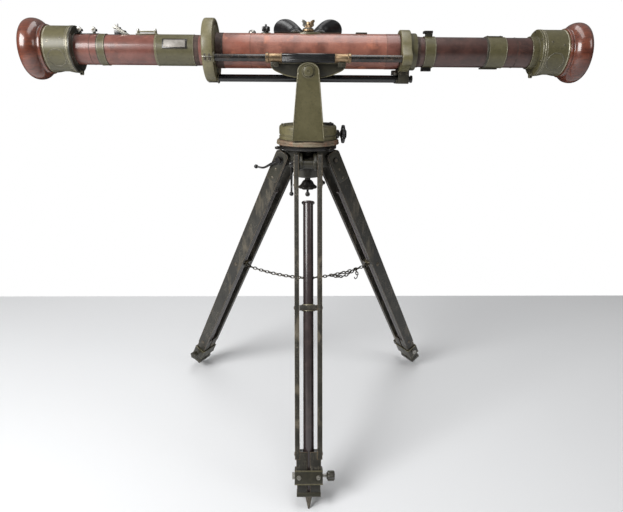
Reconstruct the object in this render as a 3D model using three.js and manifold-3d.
// Optical base rangefinder with binocular eyepieces, in a canting cradle on a folding wooden tripod.
// Millimetres, +Z up, +X to the right of someone facing the windows, standing on the plane z = 0.
import * as THREE from 'three';
import { mergeVertices } from 'three/addons/utils/BufferGeometryUtils.js';
import Module from 'manifold-3d';

const wasm = await Module();
wasm.setup();

// ---- driving dimensions ----
const AXIS_Y = 95;              // the turning axis, placed so that the object's box is centred on y = 0
const GAP = 0.3;                // between pieces that touch
const PLAY = 0.6;               // radial play of a piece that turns on another
const FINE = 24;                // sides of the large round pieces
const MEDIUM = 12;              // sides of rods, knobs and barrels
const COARSE = 8;               // sides of screws and spikes

const TUBE_Z = 1075;            // optical axis of the tube
const TUBE_R = 37.4;            // outer tube, which also runs in the rings
const TUBE_WALL = 2.4;
const CENTRE_R = 43.5;          // thicker middle tube
const CENTRE_LEFT = -240;
const CENTRE_RIGHT = 239;
const TUBE_END = 611;           // how far the outer tubes reach into the end housings

const FLANGE_FACE = 603;        // inner face of an end housing's flange
const NECK = { r: 41, length: 18 };  // collar that the right housing has on its tube
const HOUSING_OUT = 686;        // outer wall of the housings
const FLANGE_R = 58;
const FLANGE_THICK = 5;
const HOUSING_R = 54.4;
const HOUSING_WALL = 3.4;
const SHUTTER_IN = 608.5;
const SHUTTER_OUT = 673;
const WINDOW_X = 641;
const WINDOW_R = 24;
const BUMPER_R = 75.8;

const RING_THICK = 30;
const RIGHT_RING_THICK = 26;
const LEFT_RING_R = 79;
const RIGHT_RING_R = 54;
const RING_BORE = 37.8;
const FRONT_ROD = { y: -60, z: 1056, r: 9, sleeve: 10.8 };
const LOWER_ROD = { y: 0, z: 1007, r: 9.5 };
const GRIP_HALF = 67;
const SLEEVE_END = 109;

const EYE_X = 33;               // the eyepieces, from the middle
const EYE_TILT = 26;            // degrees above level
const WING = 30;                // how far an eyecup's mouth stands outside its eyepiece

const CANT_Z = 1024;            // axis that the cradle tips about
const SADDLE_HALF_Y = 46;
const ARM_IN = 50;              // inner faces of the fork's arms
const ARM_TOP = { across: 27, up: 20.5 };  // half sizes of an arm's rounded end
const PIN_R = 9;
const DRUM_R = 79.5;
const DRUM_TOP = 888;
const PLATE_R = 87;
const PLATE_BOTTOM = 834.4;
const PLATE_TOP = 848;

const HINGE_R = 70;             // leg hinges, from the turning axis
const HINGE_Z = 788;
const BOLT_R = 5;
const FOOT_R = 465;             // spike tips, from the turning axis
const RAIL_DEPTH = 42;          // at the hinge
const RAIL_DEPTH_LOW = 34;      // at the block
const RAIL_ABOVE = 26;          // how far a rail stands above its hinge
const RAIL_CORNER = 11;
const RAIL_TOP = [25.5, 37.5];  // inner and outer edge of a rail at the hinge
const RAIL_LOW = [22, 34];      // and where it meets the clamp block
const BLOCK_TOP = 122;          // distances along the leg, from the spike's tip
const BLOCK_END = 35;
const POLE_R = 13.5;
const POLE_TOP = 777;
const COLLAR = [61, 95];
const SPREADER_DOWN = 387;      // from the hinge to the spreader's middle
const EYE_IN = 27;              // from the leg's middle plane in to the chain's eye
const CHAIN_R = 3;

const LEAN = Math.atan((FOOT_R - HINGE_R) / HINGE_Z);
const LEG_LENGTH = Math.hypot(FOOT_R - HINGE_R, HINGE_Z);
const LEGS = { front: -90, right: 30, left: 150 };
// turns a clamp lever, made along its leg, to hang straight down
const HANGING = THREE.MathUtils.radToDeg(LEAN);
const RAISED = -38;             // the left lever stands out from its leg

// ---- materials ----
const olive = { color: 0x5b5a35, roughness: 0.55, metalness: 0.3 };
const darkOlive = { color: 0x2c2b22, roughness: 0.55, metalness: 0.3 };
const redBrown = { color: 0x6b3328, roughness: 0.5, metalness: 0.1 };
const varnish = { color: 0x8a3f1f, roughness: 0.2, metalness: 0.0 };
const black = { color: 0x15151a, roughness: 0.4, metalness: 0.2 };
const rubber = { color: 0x101014, roughness: 0.35, metalness: 0.0 };
const brass = { color: 0xa08a62, roughness: 0.35, metalness: 0.9 };
const steel = { color: 0x8c8c88, roughness: 0.35, metalness: 0.9 };
const paintedWood = { color: 0x35342a, roughness: 0.6, metalness: 0.0 };
const glass = { color: 0xbfd0cc, roughness: 0.05, metalness: 0.0 };

// ---- solids ----
function toSolid(geometry) {
  const bare = geometry.clone();
  bare.deleteAttribute('normal');
  bare.deleteAttribute('uv');
  const merged = mergeVertices(bare, 1e-4);
  const index = merged.index.array;
  const at = merged.attributes.position;
  const corner = (n) => new THREE.Vector3().fromBufferAttribute(at, n);
  const triangles = [];
  let volume = 0;
  for (let i = 0; i < index.length; i += 3) {
    const [a, b, c] = [index[i], index[i + 1], index[i + 2]];
    if (a === b || b === c || c === a) continue;
    triangles.push(a, b, c);
    volume += corner(a).dot(corner(b).cross(corner(c)));
  }
  if (volume < 0) triangles.reverse();
  const vertProperties = new Float32Array(at.array);
  const triVerts = new Uint32Array(triangles);
  return new wasm.Manifold(new wasm.Mesh({ numProp: 3, vertProperties, triVerts }));
}

function toMesh(name, solid, look) {
  const { vertProperties, triVerts } = solid.getMesh();
  const geometry = new THREE.BufferGeometry();
  geometry.setAttribute('position', new THREE.BufferAttribute(new Float32Array(vertProperties), 3));
  geometry.setIndex(new THREE.BufferAttribute(new Uint32Array(triVerts), 1));
  geometry.computeVertexNormals();
  const mesh = new THREE.Mesh(geometry, new THREE.MeshStandardMaterial(look));
  mesh.name = name;
  return mesh;
}

// turns a shape made along +Z so that it runs along the named axis
function along(geometry, axis) {
  if (axis === 'x') geometry.rotateY(Math.PI / 2);
  if (axis === 'y') geometry.rotateX(-Math.PI / 2);
  return geometry;
}

// turned piece: [radius, place along the axis] points, closed on the axis or on itself
function turned(points, axis, sides = FINE, closed = false) {
  const profile = points.map(([r, h]) => new THREE.Vector2(r, h));
  if (closed) profile.push(profile[0].clone());
  const geometry = new THREE.LatheGeometry(profile, sides);
  geometry.rotateX(Math.PI / 2);
  return toSolid(along(geometry, axis));
}

function rod(r, from, to, axis, sides = MEDIUM) {
  return turned([[0, from], [r, from], [r, to], [0, to]], axis, sides);
}

function pipe(inner, outer, from, to, axis, sides = FINE) {
  return turned([[inner, from], [outer, from], [outer, to], [inner, to]], axis, sides, true);
}

function ball(r) {
  return toSolid(new THREE.SphereGeometry(r, COARSE, 6));
}

function block(x, y, z) {
  const geometry = new THREE.BoxGeometry(x[1] - x[0], y[1] - y[0], z[1] - z[0]);
  geometry.translate((x[0] + x[1]) / 2, (y[0] + y[1]) / 2, (z[0] + z[1]) / 2);
  return toSolid(geometry);
}

function extruded(shape, depth, curveSegments) {
  return new THREE.ExtrudeGeometry(shape, { depth, bevelEnabled: false, curveSegments });
}

// flat outline in the XZ plane, given thickness along Y from one place to another
function slabXZ(shape, from, to, curveSteps = 8) {
  const geometry = extruded(shape, to - from, curveSteps);
  geometry.rotateX(Math.PI / 2);
  geometry.translate(0, to, 0);
  return toSolid(geometry);
}

// flat outline in the YZ plane, given thickness along X
function slabYZ(shape, from, to, curveSteps = 8) {
  const geometry = extruded(shape, to - from, curveSteps);
  geometry.rotateX(Math.PI / 2);
  geometry.rotateZ(Math.PI / 2);
  geometry.translate(from, 0, 0);
  return toSolid(geometry);
}

// flat outline in the XY plane, given thickness along Z
function slabXY(shape, from, to, curveSteps = 8) {
  const geometry = extruded(shape, to - from, curveSteps);
  geometry.translate(0, 0, from);
  return toSolid(geometry);
}

function outline(points) {
  return new THREE.Shape(points.map(([a, b]) => new THREE.Vector2(a, b)));
}

function star(lobes, outer, inner) {
  const points = [];
  for (let i = 0; i < lobes * 4; i += 1) {
    const turn = (i / (lobes * 4)) * 2 * Math.PI;
    const r = i % 4 < 2 ? outer : inner;
    points.push([r * Math.cos(turn), r * Math.sin(turn)]);
  }
  return outline(points);
}

const object = new THREE.Group();
const stand = new THREE.Group();
stand.position.y = AXIS_Y;
object.add(stand);

function put(name, solid, look, group = stand) {
  group.add(toMesh(name, solid, look));
}

// ---- tripod head ----
function addHead() {
  let head = rod(34, 742, 821.6, 'z', FINE);
  for (const azimuth of Object.values(LEGS)) {
    const lug = new THREE.Shape();
    lug.moveTo(20, HINGE_Z - 18);
    lug.lineTo(HINGE_R, HINGE_Z - 17);
    lug.absarc(HINGE_R, HINGE_Z, 17, -Math.PI / 2, Math.PI / 4, false);
    lug.lineTo(HINGE_R - 6, HINGE_Z + 29);
    lug.lineTo(20, HINGE_Z + 32);
    const boltHole = rod(BOLT_R + PLAY + 0.2, -30, 30, 'y', COARSE).translate([HINGE_R, 0, HINGE_Z]);
    const arm = slabXZ(lug, -24.8, 24.8).subtract(boltHole);
    head = head.add(arm.rotate([0, 0, azimuth]));
  }
  head = head.subtract(rod(18.8, 798, 830, 'z'));
  head = head.subtract(rod(8.5, 730, 800, 'z'));
  put('tripod_head', head, darkOlive);

  let plate = pipe(18.8, 80, 822, PLATE_BOTTOM - 0.4, 'z');
  for (const azimuth of [75, 195, 315]) {
    const tab = block([70, 93], [-10, 10], [822, 828]);
    plate = plate.add(tab.rotate([0, 0, azimuth]));
  }
  put('head_plate', plate, black);

  let wheel = turned([
    [0, 684], [5, 685.5], [7, 690.5], [5, 695.5], [3.2, 697.5], [3.2, 706], [16, 706],
    [23, 709], [23, 714], [15, 728], [9, 732], [8, 733], [8, 790], [0, 790],
  ], 'z', MEDIUM);
  wheel = wheel.add(slabXY(star(6, 27, 22), 707, 717));
  put('hand_wheel', wheel, black);
}

// ---- legs: built upright about the hinge, x outwards, y sideways, z up the leg ----
function railEdge(down, side) {
  const share = down / (LEG_LENGTH - BLOCK_TOP);
  return RAIL_TOP[side] + (RAIL_LOW[side] - RAIL_TOP[side]) * share;
}

function addLeg(name, azimuth, leverSide, leverTurn) {
  const turn = new THREE.Group();
  turn.rotation.z = THREE.MathUtils.degToRad(azimuth);
  const leg = new THREE.Group();
  leg.position.set(HINGE_R, 0, HINGE_Z);
  leg.rotation.y = -LEAN;
  turn.add(leg);
  stand.add(turn);
  const up = (fromTip) => fromTip - LEG_LENGTH;
  const half = RAIL_DEPTH / 2;
  const low = RAIL_DEPTH_LOW / 2;
  const middle = half - 2.3;    // half the rails' depth at the spreader

  const side = new THREE.Shape();
  side.moveTo(-low, up(BLOCK_END));
  side.lineTo(low, up(BLOCK_END));
  side.lineTo(low, up(BLOCK_TOP));
  side.lineTo(half, 0);
  const shoulder = RAIL_ABOVE - RAIL_CORNER;
  side.absarc(half - RAIL_CORNER, shoulder, RAIL_CORNER, 0, Math.PI / 2, false);
  side.absarc(RAIL_CORNER - half, shoulder, RAIL_CORNER, Math.PI / 2, Math.PI, false);
  side.lineTo(-half, 0);
  side.lineTo(-low, up(BLOCK_TOP));
  const sideView = slabXZ(side, -60, 60);
  const front = outline([
    [RAIL_TOP[0], RAIL_ABOVE + 1], [RAIL_LOW[0], up(BLOCK_TOP)], [3, up(BLOCK_TOP - 4)], [3, up(BLOCK_END)],
    [28, up(BLOCK_END)], [31.5, up(BLOCK_TOP)], [RAIL_LOW[1], up(BLOCK_TOP + 18)],
    [RAIL_TOP[1], RAIL_ABOVE + 1],
  ]);
  const poleBore = rod(POLE_R + GAP, up(BLOCK_END) - 5, up(BLOCK_TOP) + 5, 'z');
  const boltHole = rod(BOLT_R + PLAY + 0.2, -60, 60, 'y', COARSE);
  const rail = slabYZ(front, -half, half).intersect(sideView).subtract(poleBore).subtract(boltHole);
  put(`leg_${name}_rail_a`, rail, paintedWood, leg);
  put(`leg_${name}_rail_b`, rail.mirror([0, 1, 0]), paintedWood, leg);

  const gapHalf = railEdge(SPREADER_DOWN + 8, 0) - GAP;
  let spreader = block([-middle, middle], [-gapHalf, gapHalf], [-SPREADER_DOWN - 7, -SPREADER_DOWN + 7]);
  const lugZ = [-SPREADER_DOWN - 6, -SPREADER_DOWN + 6];
  spreader = spreader.add(block([-EYE_IN + CHAIN_R + 1, -middle + 2], [-4, 4], lugZ));
  spreader = spreader.subtract(rod(POLE_R + GAP, -SPREADER_DOWN - 20, -SPREADER_DOWN + 20, 'z'));
  put(`leg_${name}_spreader`, spreader, olive, leg);

  const pole = turned([
    [11.2, up(40)], [POLE_R, up(40)], [POLE_R, up(POLE_TOP - 6)], [17.5, up(POLE_TOP - 5)],
    [17.5, up(POLE_TOP)], [11.2, up(POLE_TOP)],
  ], 'z', MEDIUM, true);
  put(`leg_${name}_pole`, pole, black, leg);

  const spike = turned([
    [0, up(-6)], [3, up(2)], [8, up(26)], [9, up(36)], [13, up(39.5)], [10.2, up(39.6)],
    [10.2, up(58)], [0, up(58)],
  ], 'z', COARSE);
  const below = new THREE.BoxGeometry(60, 60, 30);
  below.translate(0, 0, -15);
  below.rotateY(LEAN);
  below.translate(0, 0, up(0));
  put(`leg_${name}_spike`, spike.subtract(toSolid(below)), darkOlive, leg);

  const collarHalf = low + 3.5;
  let collar = block([-collarHalf, collarHalf], [-35, 35], [up(COLLAR[0]), up(COLLAR[1])]);
  const throughZ = [up(COLLAR[0] - 5), up(COLLAR[1] + 5)];
  collar = collar.subtract(block([-low - GAP, low + GAP], [-30.8, 30.8], throughZ));
  put(`leg_${name}_collar`, collar, olive, leg);

  const knobUp = up((COLLAR[0] + COLLAR[1]) / 2);
  const knob = turned([
    [0, 35.3], [4, 35.3], [4, 45], [11, 45], [13, 47], [13, 63], [11, 65], [0, 65],
  ], 'y', MEDIUM);
  put(`leg_${name}_knob`, knob.translate([0, 0, knobUp]), darkOlive, leg);

  put(`leg_${name}_lever`, clampLever(leverSide, leverTurn), black, leg);
  addChain(name, turn);
}

// hinge bolt with a cranked handle, on one side of the leg
function clampLever(side, turnDegrees) {
  const route = new THREE.CatmullRomCurve3([
    new THREE.Vector3(0, 0, 0), new THREE.Vector3(0, 0, -28),
    new THREE.Vector3(0, 0, -56), new THREE.Vector3(12, 0, -78),
  ]);
  const section = new THREE.Shape();
  section.absellipse(0, 0, 3.4, 3.4, 0, 2 * Math.PI, false, 0);
  const bend = { steps: 5, extrudePath: route, curveSegments: 3 };
  const handle = toSolid(new THREE.ExtrudeGeometry(section, bend));
  let lever = handle.translate([0, 45, 0]);
  lever = lever.add(ball(6).translate([12.5, 45, -79]));
  lever = lever.rotate([0, turnDegrees, 0]);
  const bolt = turned([
    [0, -42], [8, -42], [8, -37.9], [BOLT_R, -37.9], [BOLT_R, 37.9], [12, 37.9], [12, 41],
    [9.5, 43], [9.5, 50], [0, 50],
  ], 'y', COARSE);
  lever = lever.add(bolt);
  return side > 0 ? lever : lever.mirror([0, 1, 0]);
}

// one arm of the spreader chain, level from the leg's eye to the middle
function addChain(name, turn) {
  const eyeR = HINGE_R + SPREADER_DOWN * Math.sin(LEAN) - EYE_IN * Math.cos(LEAN);
  const eyeZ = HINGE_Z - SPREADER_DOWN * Math.cos(LEAN) - EYE_IN * Math.sin(LEAN);
  const route = new THREE.CatmullRomCurve3([
    new THREE.Vector3(eyeR - 2, 0, eyeZ),
    new THREE.Vector3(eyeR / 2, 0, eyeZ - 5),
    new THREE.Vector3(14, 0, eyeZ - 2),
  ]);
  const section = new THREE.Shape();
  section.absellipse(0, 0, CHAIN_R, CHAIN_R, 0, 2 * Math.PI, false, 0);
  const sag = { steps: 12, extrudePath: route, curveSegments: 2 };
  let chain = toSolid(new THREE.ExtrudeGeometry(section, sag));
  if (name === 'left') {
    const ring = pipe(5.5, 10.5, eyeZ - 5, eyeZ + 1, 'z', COARSE);
    chain = chain.add(ring).add(rod(CHAIN_R, 8, 16, 'x', COARSE).translate([0, 0, eyeZ - 2]));
  }
  put(`chain_${name}`, chain, steel, turn);
}

// ---- turntable, fork and cradle ----
function addFork() {
  const plate = turned([
    [0, 800], [18, 800], [18, PLATE_BOTTOM], [PLATE_R - 3, PLATE_BOTTOM], [PLATE_R, PLATE_BOTTOM + 2],
    [PLATE_R, PLATE_BOTTOM + 6], [PLATE_R - 5, PLATE_TOP], [0, PLATE_TOP],
  ], 'z', 32);
  put('turntable_plate', plate, steel);

  const drumBottom = PLATE_TOP + GAP;
  let fork = turned([
    [0, drumBottom + 28], [66, drumBottom + 28], [68, drumBottom], [DRUM_R, drumBottom],
    [DRUM_R, DRUM_TOP - 6], [DRUM_R - 6, DRUM_TOP], [0, DRUM_TOP],
  ], 'z', 32);
  const face = new THREE.Shape();
  face.moveTo(-42, drumBottom + 2);
  face.lineTo(42, drumBottom + 2);
  face.lineTo(28.3, 1008);
  face.absellipse(0, CANT_Z, ARM_TOP.across, ARM_TOP.up, 0, Math.PI, false, 0);
  face.lineTo(-28.3, 1008);
  const profile = outline([[ARM_IN, drumBottom], [84, drumBottom], [84, 866], [70, 1046], [ARM_IN, 1046]]);
  const arm = slabXZ(face, ARM_IN, 90).intersect(slabYZ(profile, -90, 90));
  fork = fork.add(arm).add(arm.mirror([0, 1, 0]));
  fork = fork.subtract(rod(PIN_R + PLAY, -90, 90, 'y').translate([0, 0, CANT_Z]));
  fork = fork.subtract(rod(5 + PLAY, 60, 100, 'x', COARSE).translate([0, 0, 861]));
  put('fork', fork, olive);

  let clamp = rod(5, 70, 88, 'x', COARSE);
  clamp = clamp.add(turned([[0, 87], [9, 87], [16, 92], [16, 104], [10, 108], [0, 108]], 'x', MEDIUM));
  const grip = new THREE.ExtrudeGeometry(star(5, 25, 17), { depth: 12, bevelEnabled: false });
  grip.rotateY(Math.PI / 2);
  grip.translate(92, 0, 0);
  clamp = clamp.add(toSolid(grip)).translate([0, 0, 861]);
  put('azimuth_clamp', clamp, black);
}

function addCradle() {
  const boat = outline([
    [-96, 1044], [-96, 1036], [-86, 1026], [-58, 1014], [-26, 1009],
    [26, 1009], [58, 1014], [86, 1026], [96, 1036], [96, 1044],
  ]);
  let saddle = slabXZ(boat, -SADDLE_HALF_Y, SADDLE_HALF_Y);
  for (const side of [-1, 1]) {
    const near = Math.min(76 * side, 96 * side);
    saddle = saddle.add(block([near, near + 20], [-70, -SADDLE_HALF_Y + 4], [1034, 1052]));
  }
  saddle = saddle.subtract(rod(48, -120, 120, 'x', FINE).translate([0, 0, TUBE_Z]));
  saddle = saddle.subtract(block([-120, 120], [-38, 38], [1000, LOWER_ROD.z + LOWER_ROD.r + 1]));
  const sleeveClear = rod(FRONT_ROD.sleeve + GAP, -120, 120, 'x').translate([0, FRONT_ROD.y, FRONT_ROD.z]);
  saddle = saddle.subtract(sleeveClear);
  for (const side of [-1, 1]) {
    let pin = rod(PIN_R, 42, 74, 'y');
    pin = pin.add(turned([[0, 73.3], [15, 73.3], [15, 75.5], [12, 77.5], [0, 77.5]], 'y', MEDIUM));
    pin = pin.translate([0, 0, CANT_Z]);
    saddle = saddle.add(side > 0 ? pin : pin.mirror([0, 1, 0]));
  }
  put('saddle', saddle, olive);

  const seat = CENTRE_LEFT - 20;
  const rodEnd = CENTRE_RIGHT + 17;
  const { r, sleeve } = FRONT_ROD;
  const frontRod = turned([
    [0, seat], [r, seat], [r, -SLEEVE_END], [sleeve, -SLEEVE_END], [sleeve, -GRIP_HALF - GAP],
    [r - 1, -GRIP_HALF - GAP],
    [r - 1, GRIP_HALF + GAP], [sleeve, GRIP_HALF + GAP], [sleeve, SLEEVE_END],
    [r, SLEEVE_END], [r, rodEnd], [0, rodEnd],
  ], 'x', MEDIUM);
  put('front_rod', frontRod.translate([0, FRONT_ROD.y, FRONT_ROD.z]), black);

  const cut = outline([
    [-9, -10.6], [9, -10.6], [11, -8.6], [11, 8.8], [9, 10.8], [-9, 10.8], [-11, 8.8], [-11, -8.6],
  ]);
  let gripBlock = slabYZ(cut, -GRIP_HALF, GRIP_HALF);
  gripBlock = gripBlock.subtract(rod(r - 0.7, -GRIP_HALF - 5, GRIP_HALF + 5, 'x'));
  put('grip_block', gripBlock.translate([0, FRONT_ROD.y, FRONT_ROD.z]), black);

  const lowerRod = rod(LOWER_ROD.r, seat, CENTRE_RIGHT + 42, 'x').translate([0, LOWER_ROD.y, LOWER_ROD.z]);
  put('lower_rod', lowerRod, black);

  const leftFrom = CENTRE_LEFT - RING_THICK;
  const leftTo = CENTRE_LEFT - GAP;
  let leftRing = turned([
    [RING_BORE, leftFrom], [LEFT_RING_R - 5, leftFrom], [LEFT_RING_R, leftFrom + 5],
    [LEFT_RING_R, leftTo - 4], [LEFT_RING_R - 4, leftTo], [RING_BORE, leftTo],
  ], 'x', FINE, true).translate([0, 0, TUBE_Z]);
  leftRing = leftRing.subtract(rod(r + GAP, seat - GAP, 0, 'x').translate([0, FRONT_ROD.y, FRONT_ROD.z]));
  leftRing = leftRing.subtract(rod(LOWER_ROD.r + GAP, seat - GAP, 0, 'x').translate([0, LOWER_ROD.y, LOWER_ROD.z]));
  put('left_ring', leftRing, olive);

  const rightFrom = CENTRE_RIGHT + GAP;
  const rightTo = rightFrom + RIGHT_RING_THICK;
  let rightRing = turned([
    [RING_BORE, rightFrom], [RIGHT_RING_R - 2, rightFrom], [RIGHT_RING_R, rightFrom + 2],
    [RIGHT_RING_R, rightTo], [RIGHT_RING_R - 3, rightTo + 2], [46, rightTo + 3],
    [46, rightTo + 17], [RING_BORE, rightTo + 18],
  ], 'x', FINE, true).translate([0, 0, TUBE_Z]);
  const lobe = rod(15.5, rightFrom + 1, rightTo + 1, 'x').translate([0, FRONT_ROD.y, FRONT_ROD.z]);
  const web = block([rightFrom + 2, rightTo], [-62, -30], [1041, 1062]);
  const hanger = block([rightFrom + 1, rightTo + 3], [-22, 22], [995, 1040]);
  const journal = rod(RING_BORE, rightFrom - 10, rightFrom + 80, 'x', FINE).translate([0, 0, TUBE_Z]);
  rightRing = rightRing.add(lobe).add(web).add(hanger).subtract(journal);
  rightRing = rightRing.subtract(rod(r + GAP, 200, rodEnd + GAP, 'x').translate([0, FRONT_ROD.y, FRONT_ROD.z]));
  rightRing = rightRing.subtract(rod(LOWER_ROD.r + GAP, 200, 400, 'x').translate([0, LOWER_ROD.y, LOWER_ROD.z]));
  put('right_ring', rightRing, olive);
}

// ---- instrument: built along X about the optical axis ----
const instrument = new THREE.Group();
instrument.position.z = TUBE_Z;
stand.add(instrument);

function addTubes() {
  const inner = TUBE_R - TUBE_WALL;
  const left = turned([
    [inner, -TUBE_END], [TUBE_R, -TUBE_END], [TUBE_R, -543], [39, -543], [39, -524], [TUBE_R, -524],
    [TUBE_R, -393], [38.8, -393], [38.8, -296], [TUBE_R, -296], [TUBE_R, CENTRE_LEFT - GAP],
    [inner, CENTRE_LEFT - GAP],
  ], 'x', FINE, true);
  put('tube_left', left, redBrown, instrument);

  let right = turned([
    [inner, CENTRE_RIGHT + GAP], [TUBE_R, CENTRE_RIGHT + GAP], [TUBE_R, 304], [39, 304],
    [39, 332], [TUBE_R, 332],
    [TUBE_R, 471], [38.8, 471], [38.8, 518], [TUBE_R, 518], [TUBE_R, TUBE_END], [inner, TUBE_END],
  ], 'x', FINE, true);
  right = right.add(block([304, 326], [-12, 12], [37, 52])).add(block([304, 328], [-10, 10], [-48, -37]));
  put('tube_right', right, redBrown, instrument);

  const ends = CENTRE_R - 3;
  let centre = turned([
    [inner, CENTRE_LEFT], [CENTRE_R, CENTRE_LEFT], [CENTRE_R, CENTRE_RIGHT], [inner, CENTRE_RIGHT],
    [inner, CENTRE_RIGHT - 6], [ends, CENTRE_RIGHT - 6], [ends, CENTRE_LEFT + 6],
    [inner, CENTRE_LEFT + 6],
  ], 'x', FINE, true);
  const oval = rod(28, 38, 47, 'z', MEDIUM).scale([1, 0.6, 1]).translate([4.5, 0, 0]);
  const gearCase = rod(24, 38, 47, 'y', MEDIUM).translate([140, 0, 0]);
  const knobSeat = rod(13, 38, 45, 'z', MEDIUM).translate([-110.5, 0, 0]);
  centre = centre.add(oval).add(gearCase).add(knobSeat);
  put('tube_centre', centre, redBrown, instrument);
}

function addEnd(name, side) {
  const place = (solid) => (side > 0 ? solid : solid.mirror([1, 0, 0]));
  const inside = HOUSING_R - HOUSING_WALL;
  const neckEnd = side > 0 ? FLANGE_FACE - NECK.length : FLANGE_FACE - 1;
  const back = FLANGE_FACE + FLANGE_THICK;
  let housing = turned([
    [TUBE_R + GAP, neckEnd], [NECK.r, neckEnd], [NECK.r, FLANGE_FACE], [FLANGE_R, FLANGE_FACE],
    [FLANGE_R, back], [HOUSING_R, back], [HOUSING_R, HOUSING_OUT], [0, HOUSING_OUT],
    [0, HOUSING_OUT - 5], [inside, HOUSING_OUT - 5], [inside, back + 4], [TUBE_R + GAP, back + 4],
  ], 'x', FINE, true);
  const window = rod(WINDOW_R, -70, -30, 'y', MEDIUM).translate([WINDOW_X, 0, 0]);
  housing = housing.subtract(window);
  put(`housing_${name}`, place(housing), olive, instrument);

  let shutter = pipe(HOUSING_R + PLAY, FLANGE_R, SHUTTER_IN, SHUTTER_OUT, 'x', FINE);
  shutter = shutter.subtract(rod(WINDOW_R, -70, -30, 'z', MEDIUM).translate([WINDOW_X, 0, 0]));
  put(`shutter_${name}`, place(shutter), olive, instrument);

  const start = SHUTTER_OUT + 1;
  const bumper = turned([
    [HOUSING_R + GAP, start], [FLANGE_R + 1, start], [61, start + 2], [61, start + 8],
    [66, start + 13], [71.5, start + 20], [BUMPER_R - 1, start + 30], [BUMPER_R - 0.5, start + 40],
    [BUMPER_R - 4, start + 49], [64, start + 55], [56, start + 57], [46, start + 56], [42, start + 50],
    [42, HOUSING_OUT + GAP], [HOUSING_R + GAP, HOUSING_OUT + GAP],
  ], 'x', FINE, true);
  put(`bumper_${name}`, place(bumper), varnish, instrument);

  const face = 17;
  const tip = face * Math.tan(Math.PI / 8);
  const pentagon = outline([
    [-face, -face], [face, -face], [face, face - tip], [face - tip, face], [-face, face - tip],
  ]);
  const prism = slabXY(pentagon, -17, 17).translate([WINDOW_X + 4, 0, 0]);
  put(`prism_${name}`, place(prism), glass, instrument);
}

function addEyepieces() {
  const body = outline([[2, 46.5], [48.5, 46.5], [61, 20], [56, 11], [40, 11]]);
  let eyeBlock = slabYZ(body, -88, 86).subtract(rod(CENTRE_R + GAP, -100, 100, 'x', FINE));
  eyeBlock = eyeBlock.subtract(rod(29, 40, 60, 'z', MEDIUM).scale([1, 0.65, 1]).translate([4.5, 0, 0]));
  const aim = (solid, x) => solid.rotate([EYE_TILT, 0, 0]).translate([x, 54, 36]);
  for (const side of [-1, 1]) {
    eyeBlock = eyeBlock.add(aim(rod(13.5, -8, 30, 'y'), EYE_X * side));
  }
  put('eyepiece_block', eyeBlock, olive, instrument);

  for (const [name, side] of [['left', -1], ['right', 1]]) {
    const focusRing = pipe(13.5 + PLAY + 0.2, 19, 4, 20, 'y', MEDIUM);
    put(`focus_ring_${name}`, aim(focusRing, EYE_X * side), black, instrument);
    const cup = turned([
      [13.8, 21], [18, 21], [24, 34], [33, 50], [30.5, 50], [20.5, 35], [13.8, 30.5],
    ], 'y', 20, true);
    const eyecup = cup.warp((at) => {
      at[0] += WING * side * Math.max(0, (at[1] - 27) / 23);
    });
    const collar = pipe(13.8, 18.5, 21, 32, 'y', MEDIUM);
    const bore = rod(13.8, 0, 31, 'y');
    put(`eyecup_${name}`, aim(eyecup.add(collar).subtract(bore), EYE_X * side), rubber, instrument);
  }
}

function addKnobs() {
  const range = turned([
    [0, 47.5], [9, 47.5], [9, 50], [18, 50], [20, 52], [20, 64], [17, 67], [0, 67],
  ], 'y', MEDIUM);
  put('range_knob', range.translate([140, 0, 0]), black, instrument);

  const halving = turned([
    [0, 45.3], [7, 45.3], [7, 48], [10.5, 48], [10.5, 59], [8, 61], [3, 61], [3, 65], [0, 65],
  ], 'z', MEDIUM);
  put('halving_knob', halving.translate([-110.5, 0, 0]), black, instrument);

  let setting = turned([
    [0, 47.3], [14, 47.3], [16, 50], [16, 57], [12, 60], [6, 61], [6, 70], [0, 72],
  ], 'z', MEDIUM);
  setting = setting.add(block([-14, 14], [-3, 3], [62, 75]));
  put('setting_knob', setting, brass, instrument);

  const arm = outline([
    [-500, 34], [-478, 34], [-472, 38], [-485, 55], [-493, 61], [-501, 60], [-502, 52], [-499, 50],
  ]);
  const sight = slabXZ(arm, -9, 9).subtract(rod(TUBE_R + GAP, -530, -460, 'x', FINE));
  put('open_sight', sight, steel, instrument);
}

addHead();
addLeg('front', LEGS.front, -1, HANGING);
addLeg('right', LEGS.right, 1, HANGING);
addLeg('left', LEGS.left, 1, RAISED);
addFork();
addCradle();
addTubes();
addEnd('left', -1);
addEnd('right', 1);
addEyepieces();
addKnobs();

export default object;
